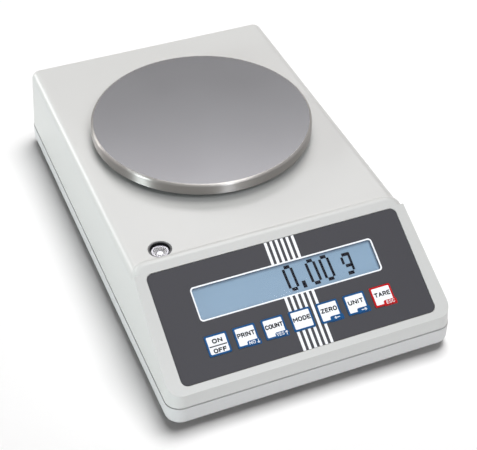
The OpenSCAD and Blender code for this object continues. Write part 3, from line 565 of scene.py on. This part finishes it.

# Painted light: the glass glows faintly in the colour it is painted, though it has no backlight.
glass_blue = Finish("display_glass", tone(134, 162, 188), 0.32, Emission_Strength=0.16)
x, s = up_slope(glass_blue)
# Painted shadow: the glass darkens towards its top and right edges, as the frame's shadow.
shade_up = glass_blue.beyond(s - window_s, 0.0083, 0.002)
shade_right = glass_blue.beyond(x, 0.0577, 0.0014)
shade = glass_blue.sum("MAXIMUM", shade_up, shade_right) * 0.8
glass_glow_tone = glass_blue.over(tone(130, 154, 174), glass_blue.grain(size=0.0005), tone(123, 147, 167))
glass_glow_tone = glass_blue.over(glass_glow_tone, shade, tone(56, 72, 92))
glass_blue.paint(glass_glow_tone)
glass_blue.feed(glass_blue.skin.inputs["Emission Color"], glass_glow_tone)
dress(glass_blue, "lcd_glass")


def slabs(name, outlines, low, high):
    """Mesh of flat prisms, one on each convex outline."""
    flat = bmesh.new()
    for outline in outlines:
        prism(flat, [(px, py, low) for px, py in outline], [(px, py, high) for px, py in outline])
    return meshed(name, flat)


def segment(left, low, wide, tall, lean=0.0):
    """Outline of one segment of the reading, its top lean metres to the left."""
    return [
        (left, low), (left + wide, low),
        (left + wide - lean, low + tall), (left - lean, low + tall),
    ]


digit_lefts, digit_wide, upright_wide = (-0.0001, 0.0151, 0.0243), 0.00515, 0.0017
segment_depth, segment_half = -0.001675, 0.00002
segments = []
for left in digit_lefts:
    for side in (0, digit_wide):
        segments.append(
            segment(left + side - upright_wide / 2, -0.0059, upright_wide, 0.0125, 0.0005)
        )
    segments.append(segment(left + 0.0005, 0.0066, 0.0037, 0.0021, 0.0001))
    segments.append(segment(left + 0.0008, -0.008, 0.0037, 0.0021, 0.0001))
point = segment(0.0082, -0.0079, 0.0024, 0.0045, 0.00015)
unit_sign = [
    segment(0.0385, 0.0044, 0.0047, 0.0021),
    segment(0.0388, -0.0029, 0.0046, 0.002),
    segment(0.0387, -0.0079, 0.0039, 0.0022),
    segment(0.0422, -0.0054, 0.0016, 0.0116),
    segment(0.0371, -0.0005, 0.0016, 0.0046),
]
segment_ink = Finish("segment_ink", tone(6, 6, 16), 0.6, Specular_IOR_Level=0.1)
segment_ink.paint(
    segment_ink.over(tone(4, 4, 14), segment_ink.grain(size=0.0008), tone(12, 12, 26))
)
lit_bars = slabs("lit_segments", segments + [point] + unit_sign, -segment_half, segment_half)
lit_bars.transform(on_slope(0, window_s, segment_depth))
lit_bars.materials.append(segment_ink.owner)
reading = put("lit_segments", lit_bars)
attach(reading, "housing")
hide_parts("lcd_segments")

lens = Finish("window_lens", tone(235, 240, 245), 0.05)
clear = lens.node("BsdfTransparent", None, {"Color": (0.97, 0.98, 0.99, 1.0)})
shine = lens.node("BsdfGlossy", None, {"Color": (1, 1, 1, 1), "Roughness": 0.06})
mirror = lens.node("Fresnel", None, {"IOR": 1.49}) * lens.not_behind() * 0.3
lens.show(lens.mixed(mirror, clear, shine))
dress(lens, "display_window")


# Keypad sheet
# Polyester sheet printed from behind in dark grey, with a white line round the window, a
# plain band of even stripes, and the coloured corners of the keys. Its circuit and snap
# domes lie below it.

key_count, key_pitch = 7, 0.01807
key_x = [(i - (key_count - 1) / 2) * key_pitch - 0.0008 for i in range(key_count)]
key_s = 0.0238
key_blue, key_red = tone(0, 76, 130), tone(190, 0, 10)
corner_tabs = {1: key_blue, 2: key_blue, 4: key_blue, 5: key_blue, 6: key_red}
tab_over, tab_below = 0.0034, 0.0052
stripe_count, stripe_pitch, stripe_half, band_middle = 6, 0.0036, 0.0009, 0.0032

print_grey = Finish("keypad_print", tone(84, 83, 87), 0.46, Specular_IOR_Level=0.15)
x, s = up_slope(print_grey)
speck = print_grey.grain(size=0.0004)
ink = print_grey.over(tone(71, 70, 74), speck, tone(64, 63, 67))
for k in range(stripe_count):
    middle = band_middle + (k - (stripe_count - 1) / 2) * stripe_pitch
    ink = print_grey.over(
        ink, print_grey.inside(abs(x - middle) - stripe_half), tone(250, 250, 252)
    )
window_line = print_grey.panel(x, s - window_s, half_u=0.0603, half_v=0.011, r=0.0023)
ink = print_grey.over(ink, print_grey.inside(window_line), tone(252, 252, 254))
for k, shade in corner_tabs.items():
    tab = print_grey.panel(
        x - key_x[k] - tab_over, s - key_s + tab_below, half_u=0.0045, half_v=0.0018, r=0.0006
    )
    ink = print_grey.over(ink, print_grey.inside(tab), shade)
print_grey.paint(ink)
print_grey.gloss(0.42 + speck * 0.08)
print_grey.relief(speck, 0.000008)
dress(print_grey, "keypad_sheet")

track_gap, track_half = 0.0013, 0.0004
circuit_film = Finish("circuit_film", tone(186, 178, 142), 0.35)
x, s = up_slope(circuit_film)
tracks = circuit_film.inside(circuit_film.sum("PINGPONG", x, track_gap) - track_half)
circuit_film.paint(circuit_film.over(tone(188, 180, 144), tracks, tone(170, 172, 176)))
dress(circuit_film, "keypad_circuit")
dome_steel = turned("dome_steel", tone(206, 208, 210), 0.22)
dress(dome_steel, "key_domes")


# Keys
# Seven keys in one row: white faces with a coloured line round them and, on five, a
# coloured corner for the second function. The words are printed on.

key_half_u, key_half_v, key_line = 0.007, 0.00645, 0.0011
corner_over, corner_below, rule_below = 0.0042, 0.0066, 0.0007


def key_face(index, edge_colour, corner, divided):
    """White key with a coloured rim, and a coloured corner where corner is set."""
    made = Finish(
        "key_face_%d" % (index + 1), tone(250, 251, 252), 0.36, Specular_IOR_Level=0.15
    )
    x, s = up_slope(made)
    u, v = x - key_x[index], s - key_s
    speck = made.grain(size=0.0006)
    face = made.over(tone(253, 253, 254), speck, tone(246, 247, 250))
    inner = made.inside(
        made.panel(u, v, half_u=key_half_u - key_line, half_v=key_half_v - key_line, r=0.0006)
    )
    face = made.over(edge_colour, inner, face)
    if corner:
        tab = made.panel(
            u - corner_over, v + corner_below, half_u=0.0051, half_v=0.0033, r=0.0011
        )
        face = made.over(face, made.inside(tab), edge_colour)
    if divided:
        rule = made.panel(u, v + rule_below, half_u=0.0055, half_v=0.00036, r=0.0001)
        face = made.over(face, made.inside(rule), tone(38, 39, 44))
    made.paint(face)
    made.gloss(0.32 + speck * 0.08)
    made.relief(speck, 0.000006)
    dress(made, "key_%d" % (index + 1))


for k in range(key_count):
    key_face(k, key_red if k == key_count - 1 else key_blue, k in corner_tabs, k == 0)

word_ink = moulded(
    "word_ink", tone(26, 26, 31), 0.6, 0.0005, 0.000004, 0.1, Specular_IOR_Level=0.2
)
white_ink = moulded("white_ink", tone(240, 241, 243), 0.5, 0.0005, 0.000004, 0.05)
print_lift, print_half = 0.000052, 0.00001

# Each sign has its width and its strokes, drawn for capitals that are 1 high.
letter_gap = 0.33
letter_strokes = {
    "A": (0.66, [[(0, 0), (0.33, 1), (0.66, 0)], [(0.13, 0.3), (0.53, 0.3)]]),
    "C": (0.6, [[
        (0.6, 0.82), (0.44, 1), (0.16, 1), (0, 0.82), (0, 0.18), (0.16, 0), (0.44, 0), (0.6, 0.18),
    ]]),
    "D": (0.6, [[(0, 0), (0, 1), (0.4, 1), (0.6, 0.78), (0.6, 0.22), (0.4, 0), (0, 0)]]),
    "E": (0.54, [[(0.54, 1), (0, 1), (0, 0), (0.54, 0)], [(0, 0.51), (0.47, 0.51)]]),
    "F": (0.52, [[(0, 0), (0, 1), (0.52, 1)], [(0, 0.5), (0.45, 0.5)]]),
    "I": (0.0, [[(0, 0), (0, 1)]]),
    "M": (0.74, [[(0, 0), (0, 1), (0.37, 0.36), (0.74, 1), (0.74, 0)]]),
    "N": (0.62, [[(0, 0), (0, 1), (0.62, 0), (0.62, 1)]]),
    "O": (0.62, [[
        (0.16, 0), (0, 0.18), (0, 0.82), (0.16, 1), (0.46, 1), (0.62, 0.82), (0.62, 0.18),
        (0.46, 0), (0.16, 0),
    ]]),
    "P": (0.56, [[(0, 0), (0, 1), (0.4, 1), (0.56, 0.86), (0.56, 0.6), (0.4, 0.46), (0, 0.46)]]),
    "R": (0.58, [
        [(0, 0), (0, 1), (0.4, 1), (0.56, 0.86), (0.56, 0.62), (0.4, 0.48), (0, 0.48)],
        [(0.32, 0.48), (0.58, 0)],
    ]),
    "S": (0.56, [[
        (0.56, 0.84), (0.42, 1), (0.14, 1), (0, 0.86), (0, 0.66), (0.14, 0.53), (0.42, 0.47),
        (0.56, 0.34), (0.56, 0.14), (0.42, 0), (0.14, 0), (0, 0.16),
    ]]),
    "T": (0.62, [[(0, 1), (0.62, 1)], [(0.31, 1), (0.31, 0)]]),
    "U": (0.6, [[(0, 1), (0, 0.18), (0.16, 0), (0.44, 0), (0.6, 0.18), (0.6, 1)]]),
    "Y": (0.62, [[(0, 1), (0.31, 0.5), (0.62, 1)], [(0.31, 0.5), (0.31, 0)]]),
    "Z": (0.58, [[(0, 1), (0.58, 1), (0, 0), (0.58, 0)]]),
    ">": (1.7, [[(0, 0.5), (1.7, 0.5)], [(1.2, 0.96), (1.7, 0.5), (1.2, 0.04)]]),
}


def stroked(runs, heavy):
    """Flat mesh of even strokes along these runs of points, with round ends and joints."""
    r, outlines = heavy / 2, []
    round_end = [(r * math.cos(k * math.pi / 4), r * math.sin(k * math.pi / 4)) for k in range(8)]
    for run in runs:
        for px, py in run:
            outlines.append([(px + ex, py + ey) for ex, ey in round_end])
        for (ax, ay), (bx, by) in zip(run, run[1:]):
            far = math.hypot(bx - ax, by - ay)
            sx, sy = (by - ay) / far * r, -(bx - ax) / far * r
            outlines.append(
                [(ax + sx, ay + sy), (bx + sx, by + sy), (bx - sx, by - sy), (ax - sx, ay - sy)]
            )
    return slabs("strokes", outlines, -print_half, print_half)


def word(text, height, longest, turn=0.0, weight=0.25):
    """A word or arrow, capitals height metres tall and longest metres wide, centred."""
    runs, wide = [], 0.0
    for sign in text:
        room, lines = letter_strokes[sign]
        runs += [[(wide + px, py) for px, py in line] for line in lines]
        wide += room + letter_gap
    wide -= letter_gap
    heavy = weight * height
    tall = height - heavy
    across = (longest - heavy) / wide
    cos, sin = math.cos(math.radians(turn)), math.sin(math.radians(turn))
    placed = []
    for run in runs:
        flat_run = [((px - wide / 2) * across, (py - 0.5) * tall) for px, py in run]
        placed.append([(px * cos - py * sin, px * sin + py * cos) for px, py in flat_run])
    return stroked(placed, heavy)


def printed(name, index, finish, drawings):
    """Puts words and arrows on a key as one piece that moves with it."""
    whole = bmesh.new()
    for mesh, u, v in drawings:
        mesh.transform(on_slope(key_x[index] + u, key_s + v, print_lift))
        whole.from_mesh(mesh)
        bpy.data.meshes.remove(mesh)
    mesh = meshed(name, whole)
    mesh.materials.append(finish.owner)
    piece = put(name, mesh)
    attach(piece, "key_body_%d" % (index + 1))


printed("key_words_1", 0, word_ink, [
    (word("ON", 0.0028, 0.0064, weight=0.26), 0.0003, 0.0023),
    (word("OFF", 0.0028, 0.0082, weight=0.26), 0.0003, -0.0036),
])
key_words = {
    1: ("PRINT", 0.0112, 0.001), 2: ("COUNT", 0.0114, 0.001), 3: ("MODE", 0.0114, 0.0006),
    4: ("ZERO", 0.0106, 0.001), 5: ("UNIT", 0.0102, 0.001), 6: ("TARE", 0.0107, 0.001),
}
for k, (text, wide, above) in key_words.items():
    drawn = word(text, 0.0029, wide, weight=0.24)
    printed("key_words_%d" % (k + 1), k, word_ink, [(drawn, 0.0001, above)])
printed("key_marks_2", 1, white_ink, [
    (word("NO", 0.0021, 0.004, weight=0.19), 0.0022, -0.0048),
    (word(">", 0.002, 0.0026, turn=270), 0.0061, -0.005),
])
printed("key_marks_3", 2, white_ink, [
    (word("YES", 0.0021, 0.005, weight=0.19), 0.0022, -0.0048),
    (word(">", 0.002, 0.0026, turn=90), 0.0063, -0.005),
])
printed("key_marks_5", 4, white_ink, [(word(">", 0.0021, 0.0038, turn=180), 0.0035, -0.0049)])
printed("key_marks_6", 5, white_ink, [(word(">", 0.0021, 0.0038), 0.0037, -0.0049)])
printed("key_marks_7", 6, white_ink, [
    (word("ESC", 0.0022, 0.0056, weight=0.19), 0.0036, -0.0048),
])


# Weighing pan
# Deep-drawn stainless pan, satin brushed on top with a polished turn-down rim, and its
# locating ring spot-welded below.

pan_middle, pan_radius, rim_round = 0.0358, 0.075, 0.0016
pan_steel = Finish("pan_steel", tone(130, 131, 134), 0.36, metal=1.0)
across = pan_steel.from_axis(0.0, pan_middle)
brush = pan_steel.grain(size=0.0004, detail=3.0, stretch=(0.03, 1.0, 1.0))
mottle = pan_steel.grain(size=0.05, detail=1.0)
pan_steel.paint(
    pan_steel.over(tone(114, 114, 116), brush * 0.1 + mottle * 0.6, tone(104, 103, 105))
)
pan_steel.gloss(0.25 + brush * 0.012)
polished = pan_steel.node("BsdfPrincipled", None, {
    "Base Color": tone(144, 141, 138),
    "Metallic": 1.0,
    "Roughness": 0.38,
    "Anisotropic": 0.97,
    "Anisotropic Rotation": 0.25,
})
rolled = pan_steel.inside(pan_radius - rim_round - across, 0.0005)
pan_steel.show(pan_steel.mixed(rolled, pan_steel.body, polished))
dress(pan_steel, "weighing_pan")
ring_steel = turned("ring_steel", tone(168, 169, 172), 0.34)
dress(ring_steel, "locating_ring")


# Studio
# A plain pale floor with its own lamp, a white surround, soft lamps that are kept off the
# floor, and the camera of the photograph.


def background_rays(shading):
    """1 for what the camera sees, straight, in metal or through glass, and 0 for light."""
    ways = ("Is Camera Ray", "Is Glossy Ray", "Is Transmission Ray")
    straight, in_metal, through_glass = [shading.node("LightPath", give=way) for way in ways]
    seen = shading.sum("MAXIMUM", straight, in_metal)
    return shading.sum("MAXIMUM", seen, through_glass)


floor_half, floor_tone = 4.0, (0.9, 0.9, 0.9, 1.0)
near_glow, glow_rise = 0.04, 0.6
corners = [(-1, -1), (1, -1), (1, 1), (-1, 1)]
ground = bpy.data.meshes.new("floor")
ground.from_pydata(
    [(px * floor_half, py * floor_half, 0) for px, py in corners], [], [(0, 1, 2, 3)]
)
floor = put("floor", ground)
sweep = Finish("studio_floor", floor_tone, 1.0)
matt = sweep.node("BsdfDiffuse", None, {"Color": floor_tone})
spread = sweep.sum("MINIMUM", sweep.from_axis(0.0, 0.0) * glow_rise, 1.0)
glow = sweep.node("Emission", None, {
    "Color": (1, 1, 1, 1), "Strength": background_rays(sweep) * (near_glow + spread * spread),
})
lit_floor = sweep.node("AddShader", None, {0: matt, 1: glow})
below = sweep.node("NewGeometry", give="Backfacing")
sweep.show(sweep.mixed(below, lit_floor, sweep.node("BsdfTransparent")))
ground.materials.append(sweep.owner)

soft_light = 0.064
room = Shading(bpy.data.worlds.new("room"), "World")
bpy.context.scene.world = room.owner
level = room.sum("MULTIPLY_ADD", background_rays(room), 1.0 - soft_light, soft_light)
room.show(room.node("Background", None, {"Color": (1, 1, 1, 1), "Strength": level}))

aim_at = Vector((0, 0, 0.05))


def softbox(name, where, size, power, tint, falls_on):
    """A soft lamp that looks at the balance and lights what falls_on holds."""
    lamp = bpy.data.lights.new(name, "AREA")
    lamp.color = tint
    lamp.shape = "RECTANGLE"
    lamp.size, lamp.size_y = size
    lamp.energy = power
    holder = put(name, lamp)
    holder.location = where
    holder.rotation_euler = (aim_at - Vector(where)).to_track_quat("-Z", "Y").to_euler()
    holder.light_linking.receiver_collection = falls_on


off_floor = bpy.data.collections.new("all_but_floor")
off_floor.objects.link(floor)
off_floor.collection_objects[0].light_linking.link_state = "EXCLUDE"
on_floor = bpy.data.collections.new("floor_only")
on_floor.objects.link(floor)

softbox("key_box", (0.33, 0.33, 1.79), (0.8, 0.8), 13.5, (1.0, 1.0, 1.0), None)
softbox("floor_box", (0.42, 0.12, 1.8), (1.0, 1.0), 25.0, (1.0, 0.99, 0.99), on_floor)
softbox("pan_box", (0.26, 1.15, 1.41), (1.3, 0.45), 9.0, (1.0, 0.98, 1.0), off_floor)
softbox("left_box", (-1.75, -0.35, 0.27), (0.4, 0.6), 20.0, (0.87, 0.98, 1.0), off_floor)
softbox("edge_box", (-0.98, 1.36, 0.7), (0.5, 0.5), 8.0, (1.0, 1.0, 1.0), off_floor)
softbox("front_box", (0.09, -1.65, 0.3), (0.2, 0.8), 7.2, (0.87, 0.93, 1.0), off_floor)
softbox("panel_box", (0.3, -1.0, 1.5), (0.8, 0.8), 12.0, (0.95, 0.97, 1.0), off_floor)

# The next two are in pixels of the photograph.
photo_width, focal = 477.0, 1195.54
lens_at = Vector((-0.227557, -0.583769, 0.553819))
el, az, roll = -0.7186, 0.3904, 0.0036
forward = Vector((math.sin(az) * math.cos(el), math.cos(az) * math.cos(el), math.sin(el)))
right = Vector((math.cos(az), -math.sin(az), 0))
up = right.cross(forward)
level_right = right * math.cos(roll) + up * math.sin(roll)
level_up = -right * math.sin(roll) + up * math.cos(roll)
view = bpy.data.cameras.new("camera")
view.sensor_fit = "HORIZONTAL"
view.sensor_width = 36.0
view.lens = view.sensor_width * focal / photo_width
view.clip_start = 0.05
camera = put("camera", view)
camera.matrix_world = standing(level_right, level_up, -forward, lens_at)
bpy.context.scene.camera = camera
bpy.context.scene.view_settings.view_transform = "Standard"
